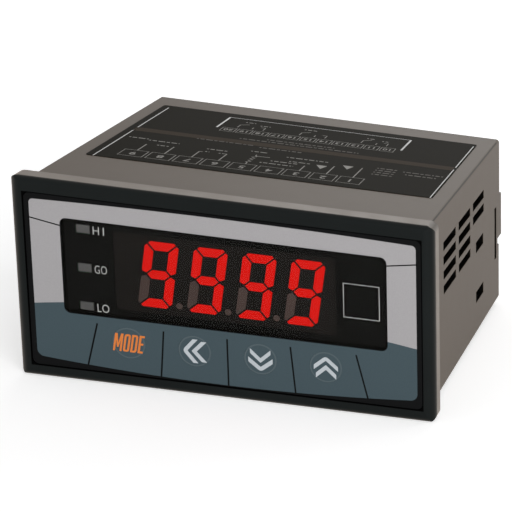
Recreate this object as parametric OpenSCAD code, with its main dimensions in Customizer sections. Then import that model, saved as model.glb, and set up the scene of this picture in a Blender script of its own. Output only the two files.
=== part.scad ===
// Digital panel meter, 96 x 48 mm front, four digits, four keys, screw terminals at the rear.
// Frame: the origin is the centre of the bezel's rear face, where it seats on the panel.
// The front looks along -Y, the case runs back along +Y and +Z is up. Millimetres.

/* [Bezel] */
// Width of the bezel
bezel_w = 96; // [95:0.5:110]
// Height of the bezel
bezel_h = 48; // [47.5:0.5:60]
// Thickness of the bezel in front of the panel
bezel_t = 6; // [5.5:0.5:9]
// Corner radius seen from the front
bezel_corner_r = 1.8; // [0.6:0.1:2.6]
// Rounding of the left and right front edges
side_round_r = 2.4; // [0.6:0.1:2.7]
// Rounding of the top and bottom front edges
top_round_r = 1.3; // [0.2:0.1:2]
// Width of the rim at the left and the right
rim_side = 2.9; // [2.7:0.1:3.4]
// Width of the rim at the top
rim_top = 3.6; // [2.8:0.1:3.8]
// Width of the rim at the bottom
rim_bottom = 2.8; // [2.6:0.1:3.2]
// Depth of the recess that the face film lies in
recess_depth = 0.7; // [0.5:0.05:1]
// Corner radius of the recess
recess_corner_r = 1.5; // [0.5:0.1:3]
// Thickness of the front wall behind the film
web_t = 2; // [1.6:0.1:2.6]
// Length of the collar that enters the case
collar_len = 5; // [4:0.5:6]
// Wall of the collar
collar_t = 1.4; // [1:0.1:1.8]
// Radius of the bosses that carry the display board
boss_r = 2.2; // [1.8:0.1:2.4]

/* [Face film] */
// Thickness of the printed film
film_t = 0.4; // [0.2:0.05:0.45]
// Gap around the film in its recess
film_gap = 0.15; // [0.05:0.05:0.3]

/* [Display window] */
// Width of the window
window_w = 73.9; // [66:0.1:76]
// Height of the window
window_h = 22.6; // [22.4:0.1:24]
// Height of the window's centre above the centre of the meter
window_z = 3.8; // [3:0.1:4.4]
// Corner radius of the window
window_corner_r = 1.4; // [0.5:0.1:3]
// How far the lens flange reaches under the film
lens_flange_w = 0.8; // [0.5:0.1:0.9]
// Thickness of the lens flange
lens_flange_t = 0.8; // [0.5:0.1:1]
// Width of the ledge that carries the lens
lens_ledge_w = 0.5; // [0.4:0.1:0.6]

/* [Digits] */
// Height of a digit
digit_h = 16; // [12:0.1:17]
// Width of a digit
digit_w = 7.7; // [6:0.1:8.2]
// Thickness of a segment
segment_t = 2.1; // [1.4:0.1:2.4]
// Gap between neighbouring segments
segment_gap = 0.4; // [0.15:0.05:0.5]
// Distance from digit to digit
digit_pitch = 11.15; // [10.6:0.05:12]
// Offset of the row of digits from the centre
digit_row_x = 1.1; // [0:0.1:2.4]
// Lean of the digits in degrees
digit_lean = 8.5; // [0:0.5:10]
// Radius of a decimal point
point_r = 0.75; // [0.5:0.05:0.9]
// Width of the display module
module_w = 51.3; // [51:0.1:56]
// Height of the display module
module_h = 19; // [18.6:0.1:20]
// Depth of the display module
module_d = 8; // [7.5:0.1:9]

/* [Lamps] */
// Width of an indicator lamp
lamp_w = 3; // [2:0.1:4]
// Height of an indicator lamp
lamp_h = 1.9; // [1:0.1:2.1]
// Distance from lamp to lamp
lamp_pitch = 9.3; // [6:0.1:9.3]
// Distance of the lamps from the left edge of the window
lamp_in = 4.6; // [4.4:0.1:7]
// How far the row of lamps lies below the centre of the window
lamp_drop = 0.4; // [0:0.1:0.4]

/* [Keys] */
// Radius of a key
key_r = 3.75; // [3:0.05:4]
// Distance from key to key
key_pitch = 15.1; // [12:0.1:16]
// Offset of the row of keys from the centre
key_row_x = 0; // [-2:0.1:2]
// Height of the keys relative to the centre
key_z = -13.3; // [-13.8:0.1:-12.9]
// Travel of a key
key_travel = 0.3; // [0.2:0.05:0.5]
// How far the flange of a key stands out behind the front wall
key_flange_w = 0.8; // [0.5:0.1:1]
// Thickness of the flange of a key
key_flange_t = 1; // [0.6:0.1:1.4]
// Gap around a key in the film
key_gap = 0.12; // [0.08:0.01:0.2]
// Width of the square body of a key switch
switch_w = 6; // [5:0.1:6.5]
// Height of the body of a key switch
switch_h = 3.5; // [3:0.1:4]
// Radius of the plunger of a key switch
plunger_r = 1.75; // [1.2:0.05:2]

/* [Case] */
// Width of the case
case_w = 91.5; // [88:0.5:92]
// Height of the case
case_h = 45; // [44.5:0.5:46]
// Length of the case behind the panel
case_len = 98; // [90:1:120]
// Wall of the case
wall_t = 2; // [1.6:0.1:2.2]
// Corner radius of the case
case_corner_r = 0.8; // [0.3:0.1:1.5]
// How far the front of the case enters the bezel
rebate_depth = 1; // [0.5:0.1:1.2]

/* [Vents and slots] */
// Length of a vent
vent_len = 16.2; // [8:0.1:18]
// Height of a vent
vent_h = 2.2; // [1:0.1:2.6]
// Distance from vent to vent along the case
vent_pitch_y = 20; // [19:0.5:20.5]
// Distance from vent row to vent row
vent_pitch_z = 3.65; // [3.4:0.05:3.8]
// Height of the top row of vents
vent_top_z = 13; // [12:0.1:15]
// Start of the vents behind the panel
vent_start = 17.3; // [17:0.1:19]
// Length of a bracket slot
slot_len = 11; // [6:0.5:12]
// Height of a bracket slot
slot_h = 3; // [2:0.1:3.6]
// Centre of the bracket slots behind the panel
slot_y = 66.9; // [64:0.1:70]
// Height of the upper bracket slot
slot_upper_z = 1.1; // [0:0.1:2]
// Height of the lower bracket slot
slot_lower_z = -12.5; // [-14:0.1:-10]

/* [Rear] */
// Depth of the band of the rear cover that closes the case
cover_band = 3; // [2.5:0.1:4]
// How far the ridge between the terminal rows stands out
ridge_out = 3; // [1:0.1:5]
// Top of the ridge
ridge_top_z = 6.9; // [4:0.1:7.5]
// Bottom of the ridge
ridge_bottom_z = -4.9; // [-5:0.1:-2]
// Height of the latch windows in the side walls
latch_h = 14.6; // [8:0.1:15]
// Width of the latch windows
latch_w = 3; // [2:0.1:3.2]
// Height of the centre of the latch windows
latch_z = -2.6; // [-3:0.1:-2]
// Thickness of the rear plate
plate_t = 2; // [1.5:0.1:2.4]

/* [Terminals] */
// Poles in the lower row
lower_poles = 9; // [6:1:10]
// Pitch of the lower row
lower_pitch = 7.62; // [7.2:0.02:8]
// Height of the lower terminal block
lower_block_h = 12; // [10:0.1:12.2]
// Poles in the upper row
upper_poles = 11; // [8:1:12]
// Pitch of the upper row
upper_pitch = 6.35; // [6.3:0.01:6.5]
// Height of the upper terminal block
upper_block_h = 10; // [9:0.1:11]
// Thickness of the barriers between the poles
barrier_t = 1; // [0.8:0.1:1.2]
// Depth of the terminal bays
bay_depth = 7.4; // [6.5:0.1:8]
// Depth of the solid base of a terminal block
base_depth = 5.6; // [5.2:0.1:6.5]
// Radius of the terminal screw's shank
screw_r = 1.5; // [1:0.05:1.55]
// Radius of the terminal screw's head
screw_head_r = 2.5; // [2:0.05:2.55]
// Thickness of the terminal screw's head
screw_head_t = 1.8; // [1.2:0.1:2]
// Thickness of a terminal plate and of a clamp washer
terminal_t = 0.8; // [0.5:0.1:1]

/* [Boards] */
// Thickness of the circuit boards
board_t = 1.6; // [1:0.1:2]
// Gap between a board and what surrounds it
board_gap = 0.3; // [0.2:0.05:0.5]
// Height of the power board above the floor of the case
power_lift = 1.3; // [1:0.1:1.6]
// Height of the top of the signal board
signal_z = 8.1; // [8:0.05:8.15]
// Length of a board guide
guide_len = 8; // [5:0.5:9]
// Height of the transformer
transformer_h = 21; // [18:0.5:22]
// Height of a relay
relay_h = 10.5; // [8:0.5:11.5]
// Height of the largest capacitor
capacitor_h = 18; // [12:0.5:20]

/* [Label] */
// Width of the label on top
label_w = 83; // [60:1:86]
// Length of the label on top
label_len = 62; // [40:1:64]
// Start of the label behind the panel
label_start = 26; // [10:1:28]
// Thickness of the label
label_t = 0.15; // [0.1:0.05:0.3]

/* [Hidden] */
$fn = 64;

// Amount by which a cut runs past the face that it opens
over = 1;
// Clearance of pieces that slide or drop into each other
fit_gap = 0.1;

// Stations along Y, from the front to the rear
front_y = -bezel_t;
film_back_y = front_y + recess_depth;
film_front_y = film_back_y - film_t;
web_back_y = film_back_y + web_t;
lens_back_y = film_back_y + lens_flange_t;
lens_front_y = film_front_y + fit_gap;
module_front_y = lens_back_y + board_gap;
display_board_y = module_front_y + module_d;
display_back_y = display_board_y + board_t;
key_back_y = web_back_y + key_flange_t;
switch_front_y = display_board_y - switch_h;
plunger_engage = 2 * key_travel;
cover_y = case_len - cover_band;
plate_y = cover_y - plate_t;
latch_y = plate_y - latch_w / 2 + 2 * fit_gap;
block_rear_y = case_len - fit_gap;
bay_y = block_rear_y - bay_depth;
block_front_y = bay_y - base_depth;
plate_front_y = bay_y + terminal_t;
washer_rear_y = plate_front_y + terminal_t;

// Recess and film
recess_w = bezel_w - 2 * rim_side;
recess_h = bezel_h - rim_top - rim_bottom;
recess_z = (rim_bottom - rim_top) / 2;
film_w = recess_w - 2 * film_gap;
film_h = recess_h - 2 * film_gap;
lens_w = window_w + 2 * lens_flange_w;
lens_h = window_h + 2 * lens_flange_w;

// Inside of the case
inner_w = case_w - 2 * wall_t;
inner_h = case_h - 2 * wall_t;
collar_w = inner_w - 2 * fit_gap;
collar_h = inner_h - 2 * fit_gap;
collar_inner_w = collar_w - 2 * collar_t;
collar_inner_h = collar_h - 2 * collar_t;

// Rows of terminals
lower_row_w = lower_poles * lower_pitch + barrier_t;
upper_row_w = upper_poles * upper_pitch + barrier_t;

// Screws of the display board
display_screw_r = 0.9;
display_screw_head_r = 1.8;
display_screw_head_t = 1.2;
display_screw_len = 5;

// Boards
display_board_w = collar_inner_w - 2 * board_gap;
display_board_h = collar_inner_h - 2 * board_gap;
main_board_w = inner_w - 2 * board_gap;
main_board_y = max(collar_len, display_back_y + display_screw_head_t) + board_gap;
main_board_end_y = plate_y - board_gap;
power_z = -inner_h / 2 + power_lift + board_t;
boss_x = display_board_w / 2 - boss_r;
boss_z = display_board_h / 2 - boss_r;
header_w = 45;
header_size = 2.5;
guide_t = 1.1;
guide_w = 2;
guide_front_y = main_board_y + over;
guide_rear_y = vent_start + 2 * vent_pitch_y + vent_len + over;

// Transformer
transformer_x = -22;
transformer_y = 40;
core_leg = 4.5;
core_window = 7;
core_stack = 12;
core_w = 4 * core_leg + 2 * core_window;
core_window_h = transformer_h - 2 * core_leg;
bobbin_t = 1;
bobbin_w = 2 * core_leg + 2 * core_window - 2 * fit_gap;
bobbin_d = core_stack + 2 * core_window;
bobbin_tube_w = 2 * (core_leg + fit_gap + bobbin_t);
bobbin_tube_d = core_stack + 2 * (fit_gap + bobbin_t);
winding_in = 0.6;

// Capacitors, rectifier, varistor and fuse on the power board
capacitor_r = 5;
capacitor_x = 4;
capacitor_y = 26;
capacitor_pitch = 12;
small_capacitor_r = 4;
small_capacitor_h = capacitor_h * 0.7;
groove_z = 2.5;
groove_r = 0.5;
rectifier_w = 8.5;
rectifier_d = 6.5;
rectifier_h = 3.2;
rectifier_x = 4;
rectifier_y = 41;
mains_y = 68;
varistor_r = 5;
varistor_t = 4;
varistor_x = -20;
fuse_r = 4.2;
fuse_h = 8;
fuse_x = -34;

// Regulator and heat sink
regulator_x = 20;
regulator_y = 52;
regulator_w = 10;
regulator_t = 3.2;
regulator_h = 9;
tab_t = 1.2;
tab_h = 5;
tab_hole_r = 1.8;
tab_hole_z = 15.5;
leg_w = 0.6;
leg_h = 4;
leg_pitch = 2.54;
sink_w = 20;
sink_t = 1.6;
sink_d = 9;
sink_h = 20;
sink_fins = 5;

// Relays, couplers and chips
relay_w = 10;
relay_d = 20;
relay_corner_r = 0.8;
relay_pitch = 13;
relay_x = 20;
relay_y = 60;
coupler_w = 4.6;
coupler_d = 6.5;
coupler_h = 3.4;
coupler_pitch = 9;
coupler_x = -34;
coupler_y = 64;
converter_w = 35;
converter_d = 7;
converter_h = 3.6;
converter_x = -8;
converter_y = 33;
controller_w = 14;
controller_t = 1.6;
controller_x = 12;
controller_z = -2;

// Lamps
lamp_x = -window_w / 2 + lamp_in;
lamp_foot_w = 0.4;
lamp_foot_t = 1;

// Digits: outline corners of the segments, before they lean
half_w = digit_w / 2;
half_h = digit_h / 2;
mid_t = segment_t / 2;
cut = segment_gap / 2 * sqrt(2);
corner_cut = 0.9;
segment_depth = 0.6;
point_x = half_w + 1.7;
point_z = -half_h + 1;
SEG_TOP = [
    [-half_w + corner_cut + cut, half_h], [half_w - corner_cut - cut, half_h],
    [half_w - corner_cut / 2 - cut, half_h - corner_cut / 2],
    [half_w - segment_t - cut, half_h - segment_t], [-half_w + segment_t + cut, half_h - segment_t],
    [-half_w + corner_cut / 2 + cut, half_h - corner_cut / 2]
];
SEG_SIDE = [
    [half_w, half_h - corner_cut - cut], [half_w, mid_t / 2 + cut],
    [half_w - mid_t, cut], [half_w - segment_t, mid_t + cut],
    [half_w - segment_t, half_h - segment_t - cut], [half_w - corner_cut / 2, half_h - corner_cut / 2 - cut]
];
SEG_MIDDLE = [
    [-half_w + segment_t + cut, mid_t], [half_w - segment_t - cut, mid_t],
    [half_w - mid_t - cut, 0], [half_w - segment_t - cut, -mid_t],
    [-half_w + segment_t + cut, -mid_t], [-half_w + mid_t + cut, 0]
];

// ---------- Shared shapes ----------

// A point of a digit, leant to the right
function lean(p) = [p[0] + p[1] * tan(digit_lean), p[1]];
function key_x(i) = key_row_x + (i - 1.5) * key_pitch;
function digit_x(i) = digit_row_x + (i - 1.5) * digit_pitch;
function row_x(i, poles, pitch) = (i - (poles - 1) / 2) * pitch;

// Front view outline, drawn in X and Z, given thickness from y0 back to y1
module slab(y0, y1) {
    translate([0, y1, 0]) rotate([90, 0, 0]) linear_extrude(y1 - y0) children();
}

// Rectangle with round corners
module round_rect(w, h, r) {
    square([w - 2 * r, h], center = true);
    square([w, h - 2 * r], center = true);
    for (sx = [-1, 1], sz = [-1, 1]) translate([sx * (w / 2 - r), sz * (h / 2 - r)]) circle(r);
}

// Half outline seen along an edge, rounded at its two front corners: width w along X, depth along Y
module edge_profile(w, depth, r) {
    translate([-w / 2, r]) square([w, depth - r]);
    translate([-w / 2 + r, 0]) square([w - 2 * r, depth]);
    for (side = [-1, 1]) translate([side * (w / 2 - r), r]) circle(r);
}

// Cylinder along Y from y0 back to y1
module rod(r, y0, y1) {
    translate([0, y1, 0]) rotate([90, 0, 0]) cylinder(r = r, h = y1 - y0);
}

// Box from corner to corner
module block(low, high) {
    translate(low) cube(high - low);
}

// ---------- Front ----------

module bezel() {
    color([0.09, 0.10, 0.10]) {
        difference() {
            union() {
                intersection() {
                    slab(front_y, 0) round_rect(bezel_w, bezel_h, bezel_corner_r);
                    translate([0, front_y, -bezel_h / 2])
                        linear_extrude(bezel_h) edge_profile(bezel_w, bezel_t, side_round_r);
                    translate([-bezel_w / 2, front_y, 0]) rotate([90, 0, 90])
                        linear_extrude(bezel_w) rotate(-90) edge_profile_side();
                }
                slab(-rebate_depth, collar_len) square([collar_w, collar_h], center = true);
            }
            translate([0, 0, recess_z]) slab(front_y - over, film_back_y)
                round_rect(recess_w, recess_h, recess_corner_r);
            slab(web_back_y, collar_len + over) square([collar_inner_w, collar_inner_h], center = true);
            case_rebate();
            translate([0, 0, window_z]) slab(film_back_y - over, lens_back_y)
                round_rect(lens_w + 2 * fit_gap, lens_h + 2 * fit_gap, window_corner_r + lens_flange_w);
            translate([0, 0, window_z]) slab(film_back_y, web_back_y + over)
                square([window_w - 2 * lens_ledge_w, window_h - 2 * lens_ledge_w], center = true);
            for (i = [0:3]) translate([key_x(i), 0, key_z])
                rod(key_r + 2 * key_gap, front_y, web_back_y + over);
        }
        bosses();
    }
}
// Side view of the bezel, rounded at the top and bottom front edges
module edge_profile_side() {
    edge_profile(bezel_h, bezel_t, top_round_r);
}

// Groove in the rear of the bezel that takes the front edge of the case
module case_rebate() {
    difference() {
        slab(-rebate_depth - fit_gap, over)
            round_rect(case_w + 2 * fit_gap, case_h + 2 * fit_gap, case_corner_r + fit_gap);
        slab(-rebate_depth - over, 2 * over) square([collar_w, collar_h], center = true);
    }
}

// Bosses that the display board is screwed to
module bosses() {
    for (sx = [-1, 1], sz = [-1, 1]) translate([sx * boss_x, 0, sz * boss_z]) difference() {
        rod(boss_r, web_back_y, display_board_y);
        rod(display_screw_r + fit_gap / 2, display_back_y - display_screw_len - over,
            display_board_y + over);
    }
}

module face_film() {
    color([0.28, 0.34, 0.37]) difference() {
        translate([0, 0, recess_z]) slab(film_front_y, film_back_y)
            round_rect(film_w, film_h, recess_corner_r - film_gap);
        translate([0, 0, window_z]) slab(film_front_y - over, film_back_y + over)
            round_rect(window_w + 2 * fit_gap, window_h + 2 * fit_gap, window_corner_r + fit_gap);
        for (i = [0:3]) translate([key_x(i), 0, key_z])
            rod(key_r + key_gap, film_front_y - over, film_back_y + over);
    }
}

module display_lens() {
    color([0.10, 0.09, 0.09]) translate([0, 0, window_z]) {
        slab(lens_front_y, lens_back_y) round_rect(window_w, window_h, window_corner_r);
        slab(film_back_y, lens_back_y) round_rect(lens_w, lens_h, window_corner_r + lens_flange_w);
    }
}

// A key: the disc that the finger presses and the flange that keeps it in
module key_cap(i) {
    color([0.30, 0.36, 0.39]) translate([key_x(i), 0, key_z]) {
        rod(key_r, film_front_y, key_back_y);
        rod(key_r + key_flange_w, web_back_y, key_back_y);
    }
}

// Plunger of a key switch, which the key pushes
module plunger(i) {
    color([0.12, 0.12, 0.12]) translate([key_x(i), 0, key_z])
        rod(plunger_r, key_back_y, switch_front_y + plunger_engage);
}

// Body of a key switch on the display board
module switch_body(i) {
    color([0.16, 0.16, 0.17]) translate([key_x(i), 0, key_z]) difference() {
        slab(switch_front_y, display_board_y) square(switch_w, center = true);
        rod(plunger_r + fit_gap, switch_front_y - over, switch_front_y + plunger_engage + 2 * key_travel);
    }
}

// ---------- Display ----------

// Outline of a segment: 0 top, 1 upper right, 2 lower right, 3 bottom, 4 lower left, 5 upper left, 6 middle
module segment_outline(n) {
    flip_z = (n == 2 || n == 3 || n == 4) ? -1 : 1;
    flip_x = (n == 4 || n == 5) ? -1 : 1;
    points = (n == 0 || n == 3) ? SEG_TOP : (n == 6) ? SEG_MIDDLE : SEG_SIDE;
    polygon([for (p = points) lean([flip_x * p[0], flip_z * p[1]])]);
}

module segments(i, list, depth) {
    translate([digit_x(i), 0, window_z]) slab(module_front_y, module_front_y + depth)
        for (n = list) segment_outline(n);
}

module point(i, depth) {
    lean_point = lean([point_x, point_z]);
    translate([digit_x(i) + lean_point[0], 0, window_z + lean_point[1]])
        rod(point_r, module_front_y, module_front_y + depth);
}

module display_module() {
    color([0.13, 0.11, 0.10]) difference() {
        translate([0, 0, window_z]) slab(module_front_y, display_board_y)
            square([module_w, module_h], center = true);
        translate([0, -over, 0]) for (i = [0:3]) segments(i, [0:6], segment_depth + over);
        translate([0, -over, 0]) for (i = [0:2]) point(i, segment_depth + over);
    }
}

// The digit shows a nine: every segment but the lower left
module lit_digit(i) {
    color([0.90, 0.10, 0.07]) segments(i, [0, 1, 2, 3, 5, 6], segment_depth);
}

module dark_segments() {
    color([0.27, 0.22, 0.20]) for (i = [0:3]) segments(i, [4], segment_depth);
}

module decimal_points() {
    color([0.27, 0.22, 0.20]) for (i = [0:2]) point(i, segment_depth);
}

// Indicator lamp: a rectangular light on the display board, behind the lens
module lamp(i) {
    color([0.42, 0.42, 0.42]) translate([lamp_x, 0, window_z - lamp_drop + i * lamp_pitch]) {
        slab(module_front_y, display_board_y) square([lamp_w, lamp_h], center = true);
        slab(display_board_y - lamp_foot_t, display_board_y)
            square([lamp_w + 2 * lamp_foot_w, lamp_h + 2 * lamp_foot_w], center = true);
    }
}

module display_board() {
    color([0.10, 0.35, 0.16]) difference() {
        slab(display_board_y, display_back_y) square([display_board_w, display_board_h], center = true);
        for (sx = [-1, 1], sz = [-1, 1]) translate([sx * boss_x, 0, sz * boss_z])
            rod(display_screw_r + fit_gap, display_board_y - over, display_back_y + over);
    }
}

module display_screws() {
    color([0.70, 0.70, 0.72]) for (sx = [-1, 1], sz = [-1, 1]) translate([sx * boss_x, 0, sz * boss_z]) {
        rod(display_screw_r, display_back_y - display_screw_len, display_back_y);
        difference() {
            rod(display_screw_head_r, display_back_y, display_back_y + display_screw_head_t);
            cross_slot(display_screw_head_r, display_back_y + display_screw_head_t / 2);
        }
    }
}

// Cross recess in a screw head, open to the rear from station y
module cross_slot(head_r, y) {
    for (turn = [0, 90]) rotate([0, turn, 0])
        translate([-0.6 * head_r, y, -0.15 * head_r]) cube([1.2 * head_r, screw_head_t, 0.3 * head_r]);
}

module controller_chip() {
    color([0.08, 0.08, 0.08]) translate([controller_x, 0, controller_z])
        slab(display_back_y, display_back_y + controller_t) square(controller_w, center = true);
}

// Pin headers that join the display board to the two long boards
module link_headers() {
    color([0.07, 0.07, 0.07]) for (z = [power_z, signal_z])
        block([-header_w / 2, display_back_y, z],
            [header_w / 2, main_board_y + header_size, z + header_size]);
}

// ---------- Case ----------

module case_shell() {
    color([0.17, 0.16, 0.15]) {
        difference() {
            union() {
                slab(-rebate_depth, cover_y) round_rect(case_w, case_h, case_corner_r);
                lower_extension();
            }
            slab(-rebate_depth - over, case_len + over) square([inner_w, inner_h], center = true);
            for (side = [-1, 1]) {
                vents(side);
                for (z = [slot_upper_z, slot_lower_z]) side_cut(side, slot_y, z, slot_len, slot_h);
                side_cut(side, latch_y, latch_z, latch_w, latch_h);
            }
        }
        for (z = [power_z, signal_z], side = [-1, 1], y = [guide_front_y, guide_rear_y]) guide(side, y, z);
    }
}
// Below the ridge the walls of the case run on past the band of the rear cover
module lower_extension() {
    notch = 2;
    intersection() {
        slab(-rebate_depth, case_len - 1) round_rect(case_w, case_h, case_corner_r);
        block([-case_w, cover_y - over, -case_h], [case_w, case_len, ridge_bottom_z - notch]);
    }
}

// Opening through one side wall, len along Y and h along Z
module side_cut(side, y, z, len, h) {
    translate([side * (case_w - wall_t) / 2, y, z]) cube([wall_t + 2 * over, len, h], center = true);
}

// Three columns of vents; the last column stops above the bracket slot
module vents(side) {
    for (column = [0:2], row = [0:(column < 2 ? 3 : 1)])
        side_cut(side, vent_start + vent_len / 2 + column * vent_pitch_y,
            vent_top_z - row * vent_pitch_z, vent_len, vent_h);
}

// Pair of ribs on one side wall that hold the edge of a board whose top is at z
module guide(side, y, z) {
    for (rib_z = [z - board_t - fit_gap - guide_t, z + fit_gap])
        block([side > 0 ? inner_w / 2 - guide_w : -inner_w / 2 - fit_gap, y, rib_z],
            [side > 0 ? inner_w / 2 + fit_gap : -inner_w / 2 + guide_w, y + guide_len, rib_z + guide_t]);
}

module top_label() {
    color([0.06, 0.06, 0.06]) translate([0, label_start + label_len / 2, case_h / 2])
        linear_extrude(label_t) round_rect(label_w, label_len, 0.8);
}

// Rear cover: band, ridge between the terminal rows, rear plate and two latch arms
module rear_cover() {
    color([0.20, 0.19, 0.18]) difference() {
        union() {
            intersection() {
                union() {
                    slab(cover_y, case_len) round_rect(case_w, case_h, case_corner_r);
                    block([-case_w / 2, cover_y, ridge_bottom_z],
                        [case_w / 2, case_len + ridge_out, ridge_top_z]);
                }
                block([-case_w, cover_y, ridge_bottom_z], [case_w, case_len + ridge_out, case_h]);
            }
            slab(plate_y, cover_y) square([inner_w - 2 * fit_gap, inner_h - 2 * fit_gap], center = true);
            for (side = [-1, 1]) latch_arm(side);
        }
        terminal_window(lower_row_w, power_z, lower_block_h);
        terminal_window(upper_row_w, signal_z, upper_block_h);
    }
}
// Window in the rear cover for a terminal block that stands on a board at z
module terminal_window(w, z, h) {
    block([-w / 2 - fit_gap, plate_y - over, z - fit_gap],
        [w / 2 + fit_gap, case_len + ridge_out + over, z + h + fit_gap]);
}

// Arm on the rear cover whose barb sits in a latch window
module latch_arm(side) {
    arm_t = 1.2;
    arm_h = latch_h - 4 * fit_gap;
    arm_x = inner_w / 2 - fit_gap - arm_t;
    barb_out = wall_t / 2;
    barb_len = latch_w - 2 * fit_gap;
    mirror([side > 0 ? 0 : 1, 0, 0]) {
        block([arm_x, latch_y - latch_w / 2, latch_z - arm_h / 2],
            [arm_x + arm_t, plate_y, latch_z + arm_h / 2]);
        translate([arm_x + arm_t - fit_gap, latch_y - barb_len / 2, latch_z - arm_h / 2])
            linear_extrude(arm_h)
                polygon([[0, 0], [0, barb_len], [barb_out, barb_len], [barb_out, barb_out]]);
    }
}

// ---------- Boards and what they carry ----------

// Long board with its top at z
module long_board(z) {
    block([-main_board_w / 2, main_board_y, z - board_t], [main_board_w / 2, main_board_end_y, z]);
}

module power_board() {
    color([0.10, 0.35, 0.16]) long_board(power_z);
}

module signal_board() {
    color([0.10, 0.35, 0.16]) long_board(signal_z);
}

// Mains transformer: laminations with two windows, a bobbin and its winding
module at_transformer() {
    translate([transformer_x, transformer_y, power_z + transformer_h / 2]) children();
}

module transformer_core() {
    color([0.45, 0.45, 0.47]) at_transformer() difference() {
        cube([core_w, core_stack, transformer_h], center = true);
        for (side = [-1, 1]) translate([side * (core_leg + core_window / 2), 0, 0])
            cube([core_window, core_stack + over, core_window_h], center = true);
    }
}

module centre_leg_hole() {
    cube([2 * core_leg + 2 * fit_gap, core_stack + 2 * fit_gap, transformer_h], center = true);
}

module transformer_bobbin() {
    tube_h = core_window_h - 2 * fit_gap;
    color([0.12, 0.12, 0.14]) at_transformer() difference() {
        union() {
            cube([bobbin_tube_w, bobbin_tube_d, tube_h], center = true);
            for (side = [-1, 1]) translate([0, 0, side * (tube_h - bobbin_t) / 2])
                cube([bobbin_w, bobbin_d, bobbin_t], center = true);
        }
        centre_leg_hole();
    }
}

module transformer_winding() {
    winding_h = core_window_h - 2 * fit_gap - 2 * bobbin_t;
    color([0.80, 0.62, 0.15]) at_transformer() difference() {
        cube([bobbin_w - 2 * winding_in, bobbin_d - 2 * winding_in, winding_h], center = true);
        cube([bobbin_tube_w, bobbin_tube_d, transformer_h], center = true);
    }
}

// Electrolytic capacitor standing on the power board, with the groove of its crimped seal
module capacitor(x, r, h) {
    translate([x, capacitor_y, power_z]) difference() {
        cylinder(r = r, h = h);
        translate([0, 0, groove_z])
            rotate_extrude() translate([r + groove_r / 2, 0]) circle(groove_r);
    }
}

module smoothing_capacitors() {
    color([0.15, 0.20, 0.40]) {
        capacitor(capacitor_x, capacitor_r, capacitor_h);
        capacitor(capacitor_x + capacitor_pitch, capacitor_r, capacitor_h);
        capacitor(capacitor_x + 2 * capacitor_pitch, small_capacitor_r, small_capacitor_h);
    }
}

// Moulded chip package of size [w, d, h], its centre on a board at place [x, y, z]
module package(place, size) {
    color([0.08, 0.08, 0.08]) translate(place) translate([-size[0] / 2, -size[1] / 2, 0]) cube(size);
}

module bridge_rectifier() {
    package([rectifier_x, rectifier_y, power_z], [rectifier_w, rectifier_d, rectifier_h]);
}

// Surge protector disc standing on its edge
module surge_varistor() {
    color([0.15, 0.30, 0.60]) translate([varistor_x, mains_y, power_z + varistor_r])
        rod(varistor_r, 0, varistor_t);
}

module fuse() {
    color([0.35, 0.20, 0.12]) translate([fuse_x, mains_y, power_z]) cylinder(r = fuse_r, h = fuse_h);
}

// Three-legged regulator with its metal tab against the heat sink
module voltage_regulator() {
    leg_y = -(tab_t + leg_w);
    color([0.10, 0.10, 0.10]) translate([regulator_x, regulator_y, power_z]) difference() {
        union() {
            block([-regulator_w / 2, -regulator_t, leg_h], [regulator_w / 2, 0, leg_h + regulator_h]);
            block([-regulator_w / 2, -tab_t, leg_h + regulator_h],
                [regulator_w / 2, 0, leg_h + regulator_h + tab_h]);
            for (leg = [-1:1]) translate([leg * leg_pitch, leg_y, 0])
                block([-leg_w / 2, 0, 0], [leg_w / 2, leg_w, leg_h + fit_gap]);
        }
        translate([0, 0, tab_hole_z]) rod(tab_hole_r, -regulator_t, over);
    }
}

module heat_sink() {
    color([0.60, 0.60, 0.62]) translate([regulator_x, regulator_y, power_z]) difference() {
        union() {
            block([-sink_w / 2, 0, 0], [sink_w / 2, sink_t, sink_h]);
            for (i = [0:sink_fins - 1]) {
                x = -sink_w / 2 + i * (sink_w - sink_t) / (sink_fins - 1);
                block([x, 0, 0], [x + sink_t, sink_d, sink_h]);
            }
        }
        translate([0, 0, tab_hole_z]) rod(tab_hole_r, -over, sink_t + over);
    }
}

// Output relays on the signal board, one for each limit
module relay(i) {
    color([0.90, 0.55, 0.15]) translate([relay_x + i * relay_pitch, relay_y, signal_z])
        linear_extrude(relay_h) round_rect(relay_w, relay_d, relay_corner_r);
}

module converter_chip() {
    package([converter_x, converter_y, signal_z], [converter_w, converter_d, converter_h]);
}

// Row of isolating couplers
module couplers() {
    for (i = [0:3])
        package([coupler_x + i * coupler_pitch, coupler_y, signal_z], [coupler_w, coupler_d, coupler_h]);
}

// ---------- Terminals ----------

// Barrier block standing on a board at z: a solid base, a floor and a barrier at each side of every pole
module terminal_block(poles, pitch, z, h) {
    row_w = poles * pitch + barrier_t;
    difference() {
        union() {
            block([-row_w / 2, block_front_y, z], [row_w / 2, bay_y, z + h]);
            block([-row_w / 2, bay_y, z], [row_w / 2, block_rear_y, z + barrier_t]);
            for (i = [0:poles]) translate([(i - poles / 2) * pitch - barrier_t / 2, bay_y, z])
                cube([barrier_t, bay_depth, h]);
        }
        for (i = [0:poles - 1]) translate([row_x(i, poles, pitch), 0, z + screw_height(h)])
            rod(screw_r + fit_gap, block_front_y + over, bay_y + over);
    }
}
function screw_height(h) = barrier_t + (h - barrier_t) / 2;

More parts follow.
